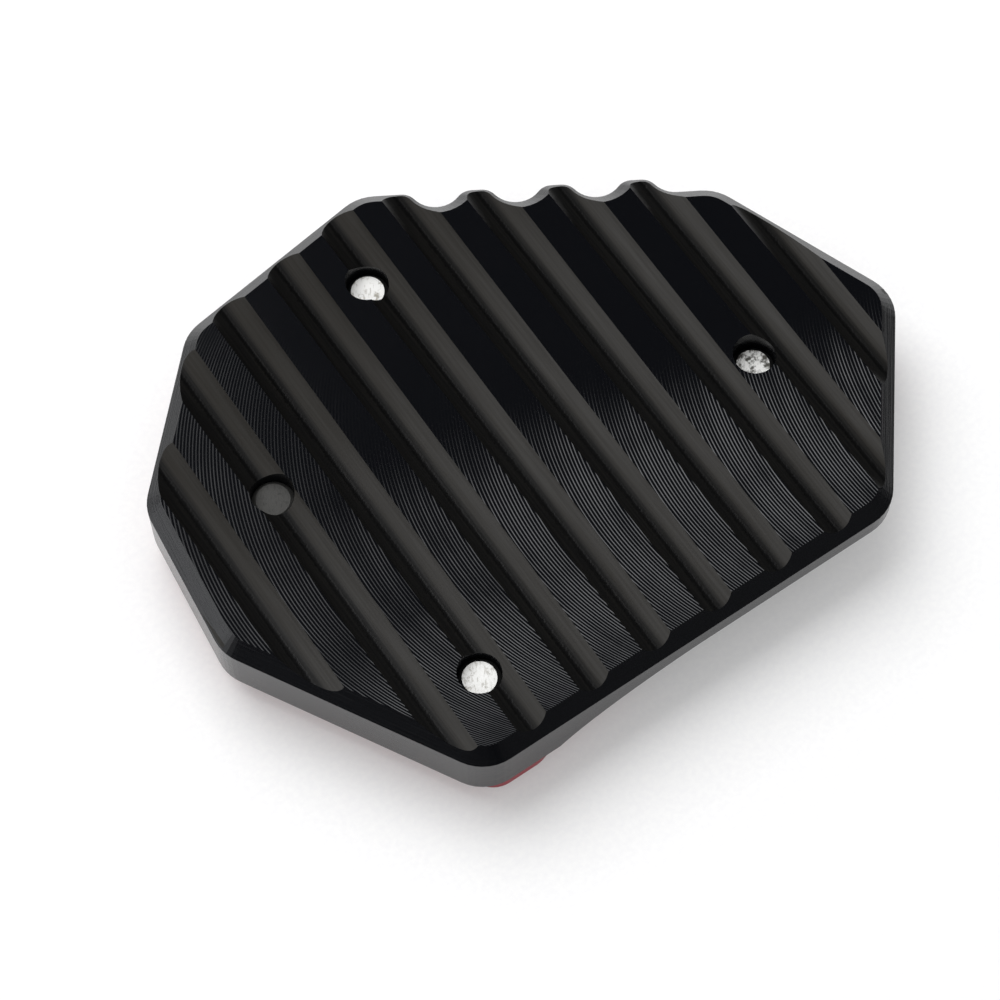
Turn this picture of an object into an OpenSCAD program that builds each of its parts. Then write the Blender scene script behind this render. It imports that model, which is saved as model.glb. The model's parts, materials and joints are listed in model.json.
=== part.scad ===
// Kickstand foot enlarger, lying with its grooved ground face up.
// A machined base plate carries the foot of the stand in a pocket in its back.
// A C-shaped clamp plate laps over the foot's rim and is held by four countersunk screws.
// X runs along the long straight front edge, Y along the grooves and Z up.
// The clamp plate lies on z = 0 and the plan is centred on the origin.

/* [Base plate] */
// Overall length of the plate along X, which scales the whole plan
plate_l = 105.4; // [96:0.2:118]
// Thickness of the base plate over its boss
base_h = 10; // [9:0.5:14]
// Thickness of the thin lip in front of the boss
lip_h = 5.2; // [4.4:0.1:6.4]
// Radius of the plate's eight corners in plan
corner_r = 6.5; // [5:0.5:9]
// Size of the 45 degree chamfer round the ground face
chamfer = 2.1; // [1.2:0.1:2.4]
// Radius of the sweep that blends the boss into the lip
blend_r = 8; // [6:0.5:12]

/* [Grooves] */
// Number of grooves across the ground face
groove_n = 10; // [6:1:11]
// Distance between the centre lines of the grooves
groove_pitch = 10; // [9:0.5:12]
// Diameter of the ball-nosed cutter that cuts the grooves
groove_cutter_d = 7; // [5:0.5:10]
// Depth of the grooves at the front edge
groove_depth_front = 1.6; // [0.6:0.1:1.8]
// Depth of the grooves at the back edge
groove_depth_back = 0.85; // [0.5:0.05:1.8]

/* [Scallops] */
// Number of scallops along the back edge
scallop_n = 4; // [1:1:4]
// Distance between neighbouring scallops
scallop_pitch = 11.4; // [10.6:0.1:12]
// Depth of the scallops under the tips between them
scallop_depth = 2.4; // [1:0.1:2.6]
// Radius of the hollow of each scallop
scallop_r = 4; // [3.6:0.1:4.4]

/* [Screws] */
// Thread diameter of the screws
screw_d = 6; // [5:1:6]
// Diameter of the countersunk heads
head_d = 12; // [10:0.5:12.5]
// Size across the flats of the hexagon socket
socket_af = 4; // [3:0.5:4]
// Depth of the hexagon socket
socket_depth = 2.4; // [1.5:0.1:2.6]
// Gap between the screws and the walls of their holes
screw_fit = 0.05; // [0.02:0.01:0.1]
// How far each screw's end lies under the ground face
end_depth = [3.1, 3.4, 2.2, 2.5];

/* [Clamp plate] */
// Thickness of the clamp plate
clamp_h = 4.5; // [4:0.5:6]
// Radius of the clamp plate's corners in plan
clamp_r = 4; // [2:0.5:4]
// Inset of the clamp plate from the outline of the base plate
clamp_inset = 2.2; // [1:0.1:3]
// Inset of the clamp plate along the front edge, where it shows a little
clamp_inset_front = 0.9; // [0.8:0.1:2]
// Inset of the clamp plate from the front of the boss
clamp_inset_boss = 0.5; // [0.2:0.1:2]
// Width of the lip that laps over the foot of the stand
lap = 3; // [2:0.5:4]
// Width of the mouth that the leg of the stand comes out through
mouth_w = 26; // [20:1:30]

/* [Foot pocket] */
// Width of the pocket along the front of the boss
pocket_w = 40; // [34:1:42]
// Length of the pocket across the boss
pocket_l = 38; // [34:1:40]
// Depth of the pocket
pocket_depth = 5; // [3:0.5:5.5]
// Radius of the pocket's corners in plan
pocket_r = 12; // [8:1:15]

/* [Hidden] */
$fn = 96;
// Points that lie closer than this are one, and cuts run this far past a face
eps = 0.01;
// Height of the ground face, and the scale of the plan
top = clamp_h + base_h;
k = plate_l / 105.4;

// The straight edges of the plan, as the direction of each normal and its distance from the middle:
// front, front right, right, back (scalloped), back left, upper left, left and front left.
edges = [[-90, 40.73], [-38.2, 51.15], [21.1, 44.75], [59.65, 35.45],
         [98.65, 40.5], [135.8, 47.7], [173.7, 51.8], [209.9, 49.35]];
scalloped = 3;

// The boss ends along this line, and the screw holes in front are parallel to it
boss_dir = -74;
boss_off = 32.1;
blend_run = sqrt(pow(blend_r, 2) - pow(max(blend_r - (base_h - lip_h), 0), 2));

// Centres of the screws, and the middle of the pocket
screw_at = k * [[-6.7, 28], [31, -11.8], [-26.7, -29.1], [-35.1, 8.2]];
pocket_at = k * [-2, -5];

// The screws' heads lie a little under the face of the clamp plate, and their rims are this thick
head_sunk = 0.1;
head_rim = 0.3;
// The screws pass through the clamp plate with this gap, and their ends taper over this length
clamp_gap = 0.3;
end_taper = 0.65;

// The tips between the scallops are rounded a little more than the chamfer is wide
tip_r = chamfer + 0.3;
scallop_first = 24.8;
// A tip turns by this angle before it meets the hollow beside it, this far along the edge
tip_turn = acos((scallop_r - scallop_depth + tip_r) / (scallop_r + tip_r));
tip_run = (scallop_r + tip_r) * sin(tip_turn);
// Largest step between the points of an arc, in degrees
arc_step = 9;

// Unit vector in a direction
function ray(a) = [cos(a), sin(a)];

// The point where two edges cross, each moved inwards by its own inset
function crossing(e, f, in_e = 0, in_f = 0) =
    let (d = k * e[1] - in_e, g = k * f[1] - in_f)
    [d * sin(f[0]) - g * sin(e[0]), g * cos(e[0]) - d * cos(f[0])] / sin(f[0] - e[0]);

// A rounded corner between two edges, as the centre and radius of its arc and the directions
// of the wall's normal where it starts and ends, going round anticlockwise
function corner(e, f, r, in_e = 0, in_f = 0) =
    [crossing(e, f, in_e + r, in_f + r), r, e[0], e[0] + (f[0] - e[0] + 360) % 360];

// One scallop and the tips beside it, where a hollow has a negative radius
function scallop(i) =
    let (dir = edges[scalloped][0], along = ray(dir - 90), out = ray(dir),
         low = k * edges[scalloped][1] - scallop_depth,
         mid = (scallop_first - i * scallop_pitch) * along + low * out,
         tip = mid + (scallop_depth - tip_r) * out)
    [if (i > 0) [tip + tip_run * along, tip_r, dir, dir + tip_turn],
     [mid + scallop_r * out, -scallop_r, i > 0 ? dir + tip_turn : dir, dir - tip_turn],
     [tip - tip_run * along, tip_r, dir - tip_turn, dir]];

// The arcs of the base plate's outline, which straight edges join
base_bends =
    [for (i = [0:len(edges) - 1])
        let (e = edges[i], f = edges[(i + 1) % len(edges)])
        each concat(
            i == scalloped ? [for (j = [0:scallop_n - 1]) each scallop(j)] : [],
            [corner(e, f, corner_r, 0, i + 1 == scalloped ? scallop_depth : 0)])];

// The clamp plate follows the outline behind the line of the boss, inset from it
clamp_edges = [edges[0], [boss_dir, boss_off], edges[1], edges[2], edges[3],
               edges[4], edges[5], edges[6], edges[7]];
clamp_insets = [clamp_inset_front, clamp_inset_boss, clamp_inset, clamp_inset, clamp_inset + scallop_depth,
                clamp_inset, clamp_inset, clamp_inset, clamp_inset];
clamp_bends =
    [for (i = [0:len(clamp_edges) - 1])
        let (j = (i + 1) % len(clamp_edges))
        corner(clamp_edges[i], clamp_edges[j], clamp_r, clamp_insets[i], clamp_insets[j])];

// The point of an outline where its normal has a direction, moved inwards by an inset
function point(bend, dir, inset = 0) = bend[0] + (bend[1] - inset) * ray(dir);

// Points round an outline at an inset
function ring(bends, inset = 0) =
    [for (j = [0:len(bends) - 1])
        let (b = bends[j], next = bends[(j + 1) % len(bends)],
             n = ceil(abs(b[3] - b[2]) / arc_step),
             joined = norm(point(b, b[3]) - point(next, next[2])) < eps)
        for (i = [0:joined ? n - 1 : n])
            point(b, b[2] + (b[3] - b[2]) * i / n, inset)];

// The middle of the base plate's box, which is brought over the origin
walls = ring(base_bends);
middle = [for (a = [0, 1]) (min([for (p = walls) p[a]]) + max([for (p = walls) p[a]])) / 2];

// A solid through loops of points that lie one above another
module skin(loops, heights) {
    n = len(loops[0]);
    m = len(loops);
    polyhedron(
        points = [for (j = [0:m - 1], p = loops[j]) [p[0], p[1], heights[j]]],
        faces = concat(
            [[for (i = [0:n - 1]) i]],
            [[for (i = [n - 1:-1:0]) (m - 1) * n + i]],
            [for (j = [0:m - 2], i = [0:n - 1])
                let (next = (i + 1) % n)
                [j * n + i, (j + 1) * n + i, (j + 1) * n + next, j * n + next]]));
}

// A rectangle with round corners, about its centre
module rounded(w, l, r) {
    square([w - 2 * r, l], center = true);
    square([w, l - 2 * r], center = true);
    for (x = [-1, 1], y = [-1, 1])
        translate([x * (w / 2 - r), y * (l / 2 - r)]) circle(r);
}

// Round-bottomed grooves, a little deeper at the front than at the back
module grooves() {
    run = 2 * k * edges[0][1];
    tilt = atan((groove_depth_front - groove_depth_back) / run);
    axis_h = top + groove_cutter_d / 2 - (groove_depth_front + groove_depth_back) / 2;
    for (i = [0:groove_n - 1])
        translate([(i - (groove_n - 1) / 2) * groove_pitch, 0, axis_h])
            rotate([90 - tilt, 0, 0])
                cylinder(d = groove_cutter_d, h = 2 * run, center = true);
}

// The space in front of the boss, under the thin lip, with the sweep that blends them.
// The sweep runs out at the lip's underside in a shallow angle and not quite flush.
module lip_space() {
    far = 2 * plate_l;
    under = base_h - lip_h;
    meet = 8;
    rotate([0, 0, boss_dir])
        translate([k * boss_off, 0, clamp_h])
            rotate([90, 0, 0])
                linear_extrude(far, center = true)
                    intersection() {
                        translate([-far / 2, under - far]) square(far);
                        union() {
                            translate([blend_run, under - far]) square(far);
                            translate([blend_run + blend_r * sin(meet), under - blend_r * cos(meet)])
                                circle(blend_r);
                        }
                    }
}

// The pocket that the foot of the stand sits in
module foot_pocket() {
    translate([pocket_at[0], pocket_at[1], clamp_h - eps])
        rotate([0, 0, boss_dir + 90])
            linear_extrude(pocket_depth + eps) rounded(pocket_w, pocket_l, pocket_r);
}

// The base plate before its grooves, pocket and holes are cut: upright walls from the outline,
// trimmed by a slightly wider body whose sides slope in at 45 degrees to the ground face
module blank() {
    spare = 1;
    intersection() {
        translate([0, 0, clamp_h]) linear_extrude(base_h + spare) polygon(ring(base_bends));
        skin([for (inset = [-spare, -spare, chamfer]) ring(base_bends, inset)],
             [clamp_h - spare, top - chamfer - spare, top]);
    }
}

// The grooves are laid out from the middle of the part, and the rest from the outline's own origin
module base_plate() {
    color([0.10, 0.10, 0.11])
        translate([-middle[0], -middle[1], 0])
            difference() {
                blank();
                translate([middle[0], middle[1], 0]) grooves();
                lip_space();
                foot_pocket();
                for (p = screw_at)
                    translate([p[0], p[1], clamp_h - 1])
                        cylinder(d = screw_d + 2 * screw_fit, h = base_h + 2);
            }
}

// The window over the pocket and the mouth that leads out of it
module clamp_window() {
    translate([pocket_at[0], pocket_at[1], -1])
        rotate([0, 0, boss_dir + 90])
            linear_extrude(clamp_h + 2) {
                rounded(pocket_w - 2 * lap, pocket_l - 2 * lap, pocket_r - lap);
                translate([-mouth_w / 2, -plate_l]) square([mouth_w, plate_l]);
            }
}

// The countersunk hole for one screw
module countersink() {
    wide = head_d / 2 + screw_fit;
    translate([0, 0, -1]) cylinder(r = screw_d / 2 + clamp_gap, h = clamp_h + 2);
    translate([0, 0, -1]) cylinder(r = wide, h = 1 + head_sunk + head_rim);
    translate([0, 0, head_sunk + head_rim]) cylinder(r1 = wide, r2 = 0, h = wide);
}

// A flat plate with an open mouth, which holds the foot of the stand in its pocket
module clamp_plate() {
    color([0.62, 0.07, 0.12])
        translate([-middle[0], -middle[1], 0])
            difference() {
                linear_extrude(clamp_h) polygon(ring(clamp_bends));
                clamp_window();
                for (p = screw_at) translate([p[0], p[1], 0]) countersink();
            }
}

// One countersunk screw, head down, with a chamfered end
module screw(i) {
    end = top - end_depth[i];
    cone = (head_d - screw_d) / 2;
    translate([screw_at[i][0] - middle[0], screw_at[i][1] - middle[1], 0])
        difference() {
            union() {
                translate([0, 0, head_sunk]) cylinder(d = head_d, h = head_rim);
                translate([0, 0, head_sunk + head_rim]) cylinder(d1 = head_d, d2 = screw_d, h = cone);
                translate([0, 0, head_sunk + head_rim])
                    cylinder(d = screw_d, h = end - end_taper - head_sunk - head_rim);
                translate([0, 0, end - end_taper])
                    cylinder(d1 = screw_d, d2 = screw_d - 2 * end_taper, h = end_taper);
            }
            translate([0, 0, head_sunk - 1])
                cylinder(d = socket_af / cos(30), h = socket_depth + 1, $fn = 6);
        }
}

// The fourth screw is a dull dark grey, and the others are bright
module screw_1() { color([0.80, 0.79, 0.76]) screw(0); }
module screw_2() { color([0.80, 0.79, 0.76]) screw(1); }
module screw_3() { color([0.80, 0.79, 0.76]) screw(2); }
module screw_4() { color([0.24, 0.24, 0.23]) screw(3); }

base_plate();
clamp_plate();
screw_1();
screw_2();
screw_3();
screw_4();
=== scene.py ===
"""Looks of the kickstand foot enlarger: materials, machining marks, light and camera.

The CAD nodes are shown as they are. Their surfaces are node-based materials whose patterns run in
the part's own coordinates. Lengths inside the materials are in millimetres, and elsewhere they are
in metres.
"""
import json
import math

import bpy
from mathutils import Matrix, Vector

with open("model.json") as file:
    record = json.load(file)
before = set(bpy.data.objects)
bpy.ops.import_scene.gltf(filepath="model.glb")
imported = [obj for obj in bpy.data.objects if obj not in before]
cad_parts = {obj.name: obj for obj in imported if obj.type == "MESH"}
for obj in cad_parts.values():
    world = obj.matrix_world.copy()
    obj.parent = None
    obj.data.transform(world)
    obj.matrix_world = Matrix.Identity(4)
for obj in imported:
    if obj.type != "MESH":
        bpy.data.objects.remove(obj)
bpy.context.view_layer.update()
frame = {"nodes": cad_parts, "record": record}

MM_PER_METRE = 1000.0

# Sizes of the part that the patterns follow, in millimetres
TOP = 14.5
GROOVE_PITCH = 10.0
GROOVE_R = 3.5
GROOVE_FLOOR = TOP - 1.9
HEAD_TOP = 3.6
RIGHT_SCREW_X = 31.0
SCREW_REACH = 5.0

# The face mill that left the arcs on the lands: the direction of its feed, the radius of its cut,
# the offset of its path from the origin and its advance in each turn
MILL_FEED = math.radians(-18.97)
MILL_R = 46.66
MILL_OFF = -6.26
MILL_STEP = 0.475

# Slope of the mill's marks at full strength, on the black lands and on the red plate
BLACK_SLOPE = 0.36
RED_SLOPE = 0.10

# Linear colours
BLACK_LAND = (0.0028, 0.0031, 0.0042)
# Painted glint on the crests of the mill's marks
BLACK_PAINTED_GLINT = (0.046, 0.047, 0.050)
BLACK_GROOVE = (0.0034, 0.0034, 0.0034)
BLACK_SCRATCH = (0.0056, 0.0052, 0.0046)
# Painted light on the sides of the grooves that face the light
GROOVE_PAINTED_LIGHT = (0.0110, 0.0094, 0.0070)
# Painted shade in the seam at the bottom of the grooves
GROOVE_SEAM_SHADE = (0.001, 0.001, 0.001)
RED_DEEP = (0.34, 0.022, 0.042)
RED_LIGHT = (0.42, 0.034, 0.056)
STEEL = (0.56, 0.55, 0.53)
STEEL_DULL = (0.42, 0.40, 0.35)
# Painted shade on the end of the screw on the right
STEEL_PAINTED_SHADE = (0.10, 0.097, 0.085)
# Painted sheen: the cut ends of the steel screws are near white
STEEL_PAINTED_SHEEN = (0.98, 0.98, 0.96)
DARK_STEEL = (0.10, 0.10, 0.10)
DARK_STEEL_DULL = (0.030, 0.030, 0.029)
DARK_STEEL_BRIGHT = (0.066, 0.065, 0.062)
# Painted shade on the sides of the screws, down in the holes
HOLE_PAINTED_SHADE = (0.02, 0.02, 0.02)
PAPER_DEEP = (0.90, 0.90, 0.91)
PAPER_LIGHT = (0.94, 0.94, 0.94)
PAPER_UNLIT = (0.02, 0.02, 0.02)

# The paper's lift towards white, and the ring in which glossy surfaces lose sight of the paper
PAPER_LIFT = 0.20
SHEET_EDGE = (90.0, 190.0)

# Camera at the photograph's angle
CAMERA_PLACE = (-0.10609, -0.14942, 0.38259)
CAMERA_TARGET = (-0.010445, -0.010202, 0.0145)
CAMERA_SENSOR_MM = 36.0
CAMERA_LENS_MM = 108.36
CAMERA_NEAR = 0.01

# Directions on the floor, as the camera's picture shows them
RIGHT = Vector((0.824, -0.566, 0.0))
AHEAD = Vector((0.566, 0.824, 0.0))
UP = Vector((0.0, 0.0, 1.0))

KEY_DIRECTION = -0.32 * RIGHT + 0.40 * AHEAD + 0.86 * UP
KEY_DISTANCE = 0.9
KEY_SIZE = 0.75
KEY_WATTS = 6.8

FLOOR_SIZE = 3.0
FLOOR_Z = -0.0002

PLAIN_STRENGTH = 0.60
STUDIO_COLOUR = (0.97, 0.98, 1.0, 1.0)
STUDIO_STRENGTH = 0.010


class Nodes:
    """A node tree in which formulas are written as calls."""

    def __init__(self, tree):
        self.tree = tree

    def node(self, kind, **settings):
        made = self.tree.nodes.new(kind)
        for key, value in settings.items():
            setattr(made, key, value)
        return made

    def plug(self, socket, value):
        if isinstance(value, bpy.types.NodeSocket):
            self.tree.links.new(value, socket)
        else:
            socket.default_value = value

    def op(self, operation, *values):
        made = self.node("ShaderNodeMath", operation=operation)
        for socket, value in zip(made.inputs, values):
            self.plug(socket, value)
        return made.outputs[0]

    def add(self, first, *others):
        for other in others:
            first = self.op("ADD", first, other)
        return first

    def mul(self, first, *others):
        for other in others:
            first = self.op("MULTIPLY", first, other)
        return first

    def linear(self, *terms):
        """The sum of factor times value over the pairs."""
        total = 0.0
        for factor, value in terms:
            total = self.op("MULTIPLY_ADD", value, factor, total)
        return total

    def ramp(self, value, low, high, out_low=0.0, out_high=1.0):
        """A smooth step from one output at the low end to the other at the high end."""
        made = self.node("ShaderNodeMapRange", interpolation_type="SMOOTHSTEP")
        made.inputs["From Min"].default_value = low
        made.inputs["From Max"].default_value = high
        made.inputs["To Min"].default_value = out_low
        made.inputs["To Max"].default_value = out_high
        self.plug(made.inputs["Value"], value)
        return made.outputs["Result"]

    def vector_node(self, operation, first, second, scale):
        made = self.node("ShaderNodeVectorMath", operation=operation)
        self.plug(made.inputs[0], first)
        if second is not None:
            self.plug(made.inputs[1], second)
        if scale is not None:
            self.plug(made.inputs["Scale"], scale)
        return made

    def vec(self, operation, first, second=None, scale=None):
        return self.vector_node(operation, first, second, scale).outputs["Vector"]

    def dot(self, first, second):
        return self.vector_node("DOT_PRODUCT", first, second, None).outputs["Value"]

    def mix_shaders(self, factor, first, second):
        made = self.node("ShaderNodeMixShader")
        for socket, value in zip(made.inputs, (factor, first, second)):
            self.plug(socket, value)
        return made.outputs[0]


class Surface(Nodes):
    """A material with the place in millimetres and the true normal at hand."""

    def __init__(self, name):
        self.material = bpy.data.materials.new(name)
        self.material.use_nodes = True
        super().__init__(self.material.node_tree)
        self.shader = self.tree.nodes["Principled BSDF"]
        self.out = self.tree.nodes["Material Output"]
        place = self.node("ShaderNodeTexCoord").outputs["Object"]
        normal = self.node("ShaderNodeNewGeometry").outputs["True Normal"]
        self.mm = self.vec("SCALE", place, scale=MM_PER_METRE)
        self.x, self.y, self.z = self.split(self.mm)
        self.nx, self.ny, self.nz = self.split(normal)

    def split(self, vector):
        made = self.node("ShaderNodeSeparateXYZ")
        self.plug(made.inputs[0], vector)
        return made.outputs

    def join(self, x, y, z):
        made = self.node("ShaderNodeCombineXYZ")
        for socket, value in zip(made.inputs, (x, y, z)):
            self.plug(socket, value)
        return made.outputs[0]

    def over(self, value, limit):
        return self.op("GREATER_THAN", value, limit)

    def under(self, value, limit):
        return self.op("LESS_THAN", value, limit)

    def noise(self, place, scale=1.0, detail=2.0, rough=0.5):
        made = self.node("ShaderNodeTexNoise")
        made.inputs["Scale"].default_value = scale
        made.inputs["Detail"].default_value = detail
        made.inputs["Roughness"].default_value = rough
        self.plug(made.inputs["Vector"], place)
        return made.outputs["Fac"]

    def streaks(self, density, detail=3.0, rough=0.5):
        """Noise with a density of its own along each axis, per millimetre."""
        return self.noise(self.vec("MULTIPLY", self.mm, density), 1.0, detail, rough)

    def random(self, value):
        made = self.node("ShaderNodeTexWhiteNoise", noise_dimensions="1D")
        self.plug(made.inputs["W"], value)
        return made.outputs["Value"]

    def blend(self, factor, first, second):
        made = self.node("ShaderNodeMix", data_type="FLOAT")
        for index, value in ((0, factor), (2, first), (3, second)):
            self.plug(made.inputs[index], value)
        return made.outputs[0]

    def tint(self, factor, first, second):
        """A colour between two others, each a colour's three numbers or a socket."""
        made = self.node("ShaderNodeMix", data_type="RGBA")
        self.plug(made.inputs[0], factor)
        for index, value in ((6, first), (7, second)):
            self.plug(made.inputs[index], (*value, 1.0) if isinstance(value, tuple) else value)
        return made.outputs[2]

    def bump(self, height):
        """The surface's normal with a relief in millimetres on it."""
        made = self.node("ShaderNodeBump")
        made.inputs["Distance"].default_value = 1.0 / MM_PER_METRE
        self.plug(made.inputs["Height"], height)
        return made.outputs[0]

    def tilted(self, normal, way, slope):
        """A normal that leans along a direction by a slope."""
        return self.vec("NORMALIZE", self.vec("ADD", normal, self.vec("SCALE", way, scale=slope)))

    def set(self, **inputs):
        for name, value in inputs.items():
            self.plug(self.shader.inputs[name.replace("_", " ")], value)


def mill_arcs(m):
    """The height of the cutter's marks from 1 to -1, their count and the direction across them."""
    c, s = math.cos(MILL_FEED), math.sin(MILL_FEED)
    across = m.add(m.linear((-s, m.x), (c, m.y)), -MILL_OFF)
    room = m.op("SUBTRACT", MILL_R ** 2, m.mul(across, across))
    reach = m.op("SQRT", m.op("MAXIMUM", room, 1.0))
    count = m.op("DIVIDE", m.add(m.linear((c, m.x), (s, m.y)), reach), MILL_STEP)
    bend = m.op("DIVIDE", across, reach)
    way = m.join(m.op("MULTIPLY_ADD", bend, s, c), m.op("MULTIPLY_ADD", bend, -c, s), 0.0)
    return m.op("COSINE", m.mul(count, 2 * math.pi)), count, m.vec("NORMALIZE", way)


def mill_strength(m, count):
    """How strong the marks on the lands are, and with them the painted glint on their crests; they
    fade towards the back.
    """
    to_back = m.ramp(m.linear((0.25, m.x), (1.0, m.y)), -17.0, 3.0, 1.0, 0.15)
    from_left = m.ramp(m.x, -34.0, 6.0, 0.42, 1.0)
    front_edge = m.ramp(m.y, -33.0, -10.0, 1.15, 0.2)
    main = m.mul(to_back, m.op("MAXIMUM", from_left, front_edge))
    # The marks on the left half go on to the back, fainter than those at the front
    left = m.mul(m.ramp(m.x, -38.0, -4.0, 1.0, 0.0), m.ramp(m.y, -20.0, 25.0, 0.32, 0.22))
    # No two turns of the cutter and no two patches of the face are quite alike
    turn = m.add(0.72, m.mul(m.random(m.op("FLOOR", count)), 0.28))
    patch = m.ramp(m.streaks((0.12, 0.12, 0.0), 2.0), 0.3, 0.6, 0.8, 1.0)
    return m.mul(m.op("MAXIMUM", main, left), turn, patch)


def black_anodised():
    m = Surface("black_anodised")

    # Which kind of surface this is: on a groove's wall the normal leans as the place across says
    cell = m.op("FRACT", m.op("DIVIDE", m.x, GROOVE_PITCH))
    across = m.add(m.mul(cell, GROOVE_PITCH), -GROOVE_PITCH / 2)
    leans = m.op("COMPARE", m.add(m.mul(m.nx, GROOVE_R), across), 0.0, 0.55)
    groove = m.mul(leans, m.under(m.op("ABSOLUTE", m.ny), 0.1),
                   m.under(m.z, TOP - 0.002), m.over(m.z, GROOVE_FLOOR))
    land = m.mul(m.over(m.z, TOP - 0.01), m.over(m.nz, 0.99))
    rest = m.op("SUBTRACT", 1.0, m.op("MAXIMUM", groove, land))

    # Face mill: one rise for each turn of the cutter
    rise, count, way = mill_arcs(m)
    wave = m.mul(rise, mill_strength(m, count), land)

    # Ball-nosed cutter: scratches along the groove, chatter across it, and a ragged line where the
    # two passes of the cutter meet, near the bottom of the groove, dipped in and painted near
    # black as shade
    drawn = m.streaks((3.0, 0.06, 0.0), 4.0, 0.6)
    chatter = m.streaks((0.9, 2.6, 0.0))
    from_seam = m.op("ABSOLUTE", m.add(across, 0.25, m.mul(chatter, 0.7)))
    seam_dip_and_shade = m.ramp(from_seam, 0.12, 0.46, 1.0, 0.0)

    # Chamfer and walls: scratches that run level
    level = m.streaks((0.08, 0.08, 6.0))
    grain = m.noise(m.mm, 5.0, 3.0, 0.6)

    relief = m.bump(m.linear((0.016, m.mul(drawn, groove)), (0.012, m.mul(chatter, groove)),
                             (-0.030, m.mul(seam_dip_and_shade, groove)), (0.003, grain),
                             (0.024, m.mul(level, rest))))

    # The crests of the mill's marks carry a painted glint, lighter than the land, and the sides of
    # the grooves that face the light carry painted light, lighter and a little brown
    flat = m.tint(m.ramp(wave, 0.1, 1.0), BLACK_LAND, BLACK_PAINTED_GLINT)
    grey = m.tint(m.ramp(drawn, 0.35, 0.7), BLACK_GROOVE, BLACK_SCRATCH)
    # The sides of the grooves that face the light get painted light
    sides_with_painted_light = m.tint(m.ramp(m.nx, -0.25, 0.0, 1.0, 0.0), grey, GROOVE_PAINTED_LIGHT)
    shade = m.tint(groove, flat, m.tint(seam_dip_and_shade, sides_with_painted_light, GROOVE_SEAM_SHADE))

    # The grooves are duller where the scratches are faint and at the back left
    to_back_left = m.ramp(m.linear((-0.4, m.x), (1.0, m.y)), -5.0, 40.0, 1.0, 0.5)
    worn = m.mul(m.ramp(drawn, 0.3, 0.7, 0.34, 0.48), to_back_left)
    m.set(Base_Color=shade,
          Roughness=m.blend(land, m.blend(groove, 0.22, 0.46), 0.13),
          Specular_IOR_Level=m.blend(land, m.blend(groove, 0.42, worn), 0.85),
          Normal=m.tilted(relief, way, m.mul(wave, -BLACK_SLOPE)))
    return m.material


def red_anodised():
    m = Surface("red_anodised")
    grain = m.noise(m.mm, 3.0, 3.0)
    level = m.streaks((0.1, 0.1, 5.0))
    rise, _, way = mill_arcs(m)
    flat = m.over(m.op("ABSOLUTE", m.nz), 0.9)
    relief = m.bump(m.linear((0.003, grain), (0.008, level)))
    m.set(Base_Color=m.tint(m.ramp(grain, 0.3, 0.7), RED_DEEP, RED_LIGHT),
          Metallic=0.6,
          Roughness=m.ramp(grain, 0.3, 0.7, 0.34, 0.44),
          Normal=m.tilted(relief, way, m.mul(rise, RED_SLOPE, flat)))
    return m.material


def screw_steel(name, dark):
    """Steel that is mottled on the cut ends, plain on the heads, and painted dark at the sides as
    shade in the holes.
    """
    m = Surface(name)
    mottle = m.noise(m.mm, 0.9, 4.0, 0.62)
    grain = m.noise(m.mm, 7.0, 3.0)
    # The dark screw's end takes in the taper round it
    end = m.over(m.nz, 0.3 if dark else 0.9)
    head = m.under(m.z, HEAD_TOP)
    if dark:
        plain, dull, bright = DARK_STEEL, DARK_STEEL_DULL, DARK_STEEL_BRIGHT
    else:
        # The end of the screw on the right is painted darker than the other two, as painted shade
        # of its domed end
        shaded_right_screw = m.op("COMPARE", m.x, RIGHT_SCREW_X, SCREW_REACH)
        mottle = m.add(mottle, m.mul(shaded_right_screw, -0.10))
        plain, dull, bright = STEEL, m.tint(shaded_right_screw, STEEL_DULL, STEEL_PAINTED_SHADE), STEEL_PAINTED_SHEEN
    # Streaks of the tool that cut the end off
    streak = m.noise(m.join(m.linear((0.5, m.x), (0.9, m.y)),
                            m.linear((-2.6, m.x), (1.4, m.y)), m.z), 1.0, 3.0)
    clean = m.op("MINIMUM", m.ramp(mottle, 0.30, 0.46), m.ramp(streak, 0.32, 0.44, 0.45, 1.0))
    m.set(Base_Color=m.tint(end, m.tint(head, HOLE_PAINTED_SHADE, plain), m.tint(clean, dull, bright)),
          # Little metal on the cut ends: their near-white colour is the painted sheen of the cut
          # steel
          Metallic=m.blend(head, 0.15, 0.85),
          Roughness=m.ramp(grain, 0.3, 0.7, 0.38, 0.55),
          Normal=m.bump(m.linear((0.05, mottle), (0.02, grain))))
    return m.material


def paper():
    """White paper. Glossy surfaces see only the sheet round the part.

    To the camera, and to the glossy and clear surfaces that see it, it is a little lighter.
    """
    m = Surface("paper")
    path = m.node("ShaderNodeLightPath").outputs
    grain = m.noise(m.mm, 1.2, 4.0, 0.6)
    far = m.ramp(m.op("SQRT", m.add(m.mul(m.x, m.x), m.mul(m.y, m.y))), *SHEET_EDGE)
    pale = m.tint(m.ramp(grain, 0.3, 0.7), PAPER_DEEP, PAPER_LIGHT)
    m.set(Base_Color=m.tint(m.mul(far, path["Is Glossy Ray"]), pale, PAPER_UNLIT),
          Roughness=0.9,
          Specular_IOR_Level=0.1)
    seen = m.add(path["Is Camera Ray"], path["Is Transmission Ray"],
                 m.mul(path["Is Glossy Ray"], m.op("SUBTRACT", 1.0, far)))
    white = m.node("ShaderNodeEmission").outputs[0]
    m.plug(m.out.inputs["Surface"],
           m.mix_shaders(m.mul(seen, PAPER_LIFT), m.shader.outputs[0], white))
    return m.material


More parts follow.
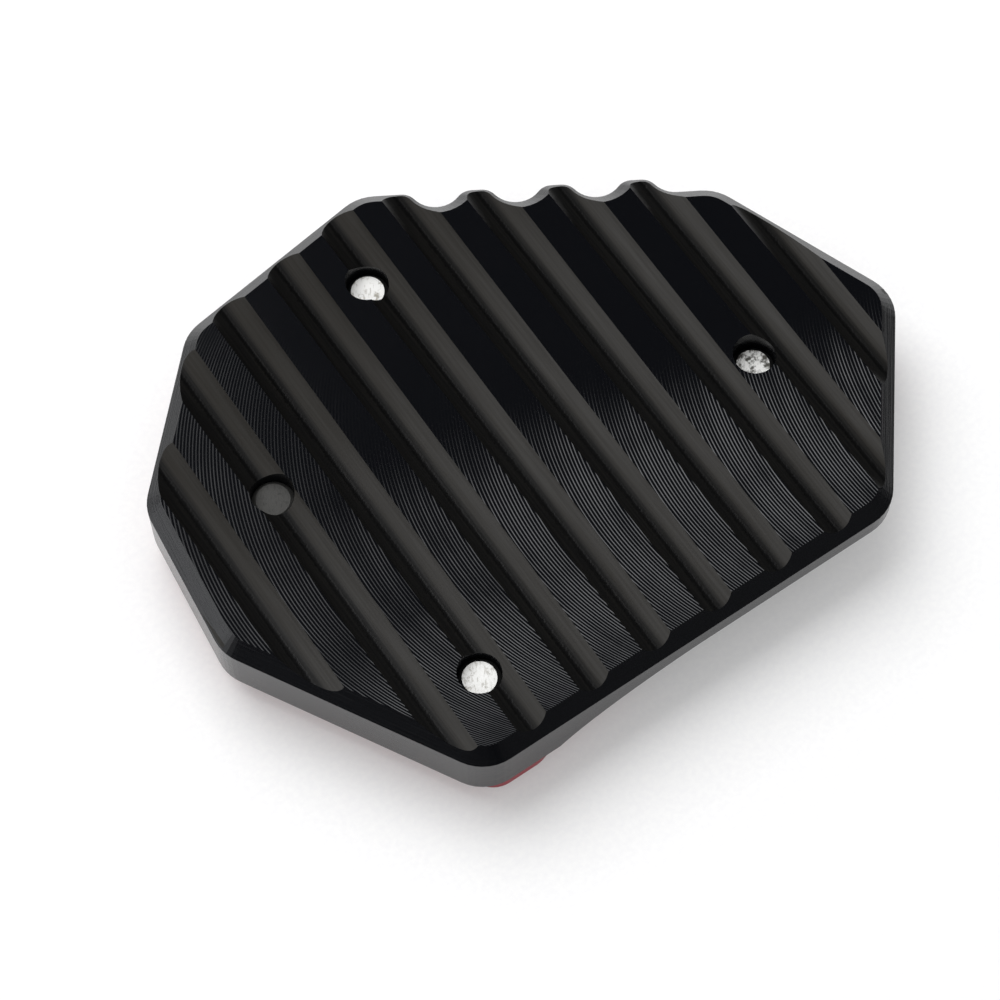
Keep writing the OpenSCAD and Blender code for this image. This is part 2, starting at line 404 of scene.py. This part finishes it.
def surroundings(tree):
    """White surroundings, in place of which glossy surfaces reflect a dark studio."""
    w = Nodes(tree)
    looked_in = w.node("ShaderNodeTexCoord").outputs["Generated"]
    ways = (RIGHT.normalized(), AHEAD.normalized(), UP)
    right, ahead, up = (w.dot(looked_in, way) for way in ways)

    # A white wall on the left, a pale horizon everywhere but on the right, and a faint screen on
    # the right, without which the ground face is lost from behind
    wall = w.mul(w.ramp(right, -0.36, -0.10, 1.6, 0.0),
                 w.ramp(ahead, -0.62, -0.30, 0.0, 1.0), w.ramp(ahead, 0.60, 0.90, 1.0, 0.3))
    horizon = w.mul(w.ramp(up, 0.08, 0.30, 0.45, 0.0), w.ramp(right, 0.1, 0.4, 1.0, 0.0))
    screen = w.mul(w.ramp(right, 0.45, 0.75, 0.0, 0.11),
                   w.ramp(up, 0.10, 0.22, 0.0, 1.0), w.ramp(up, 0.40, 0.65, 1.0, 0.0))

    studio = w.node("ShaderNodeBackground")
    w.plug(studio.inputs["Color"], STUDIO_COLOUR)
    w.plug(studio.inputs["Strength"], w.add(STUDIO_STRENGTH, wall, horizon, screen))
    plain = w.node("ShaderNodeBackground")
    w.plug(plain.inputs["Color"], (1.0, 1.0, 1.0, 1.0))
    w.plug(plain.inputs["Strength"], PLAIN_STRENGTH)
    glossy = w.node("ShaderNodeLightPath").outputs["Is Glossy Ray"]
    w.plug(tree.nodes["World Output"].inputs["Surface"],
           w.mix_shaders(glossy, plain.outputs[0], studio.outputs[0]))


def put(name, data, location, target):
    """An object that looks from its location towards a target."""
    made = bpy.data.objects.new(name, data)
    bpy.context.scene.collection.objects.link(made)
    made.location = location
    made.rotation_euler = (Vector(target) - made.location).to_track_quat("-Z", "Y").to_euler()
    return made


camera_data = bpy.data.cameras.new("camera")
camera_data.sensor_width = CAMERA_SENSOR_MM
camera_data.lens = CAMERA_LENS_MM
camera_data.clip_start = CAMERA_NEAR
bpy.context.scene.camera = put("camera", camera_data, CAMERA_PLACE, CAMERA_TARGET)

finishes = {"black_anodised": black_anodised(), "red_anodised": red_anodised(),
            "screw_steel": screw_steel("screw_steel", dark=False),
            "dark_screw_steel": screw_steel("dark_screw_steel", dark=True)}
for part in frame["record"]["subparts"]:
    mesh = frame["nodes"][part["node"]].data
    mesh.materials.clear()
    mesh.materials.append(finishes[part["material_slot"]])

bpy.ops.mesh.primitive_plane_add(size=FLOOR_SIZE, location=(0, 0, FLOOR_Z))
floor = bpy.context.object
floor.name = "floor"
floor.data.materials.append(paper())

key_data = bpy.data.lights.new("key", "AREA")
key_data.size = KEY_SIZE
key_data.energy = KEY_WATTS
key = put("key", key_data, KEY_DISTANCE * KEY_DIRECTION.normalized(), (0, 0, 0))
key.visible_glossy = False

world = bpy.data.worlds.new("world")
bpy.context.scene.world = world
world.use_nodes = True
surroundings(world.node_tree)
bpy.context.scene.view_settings.view_transform = "Standard"
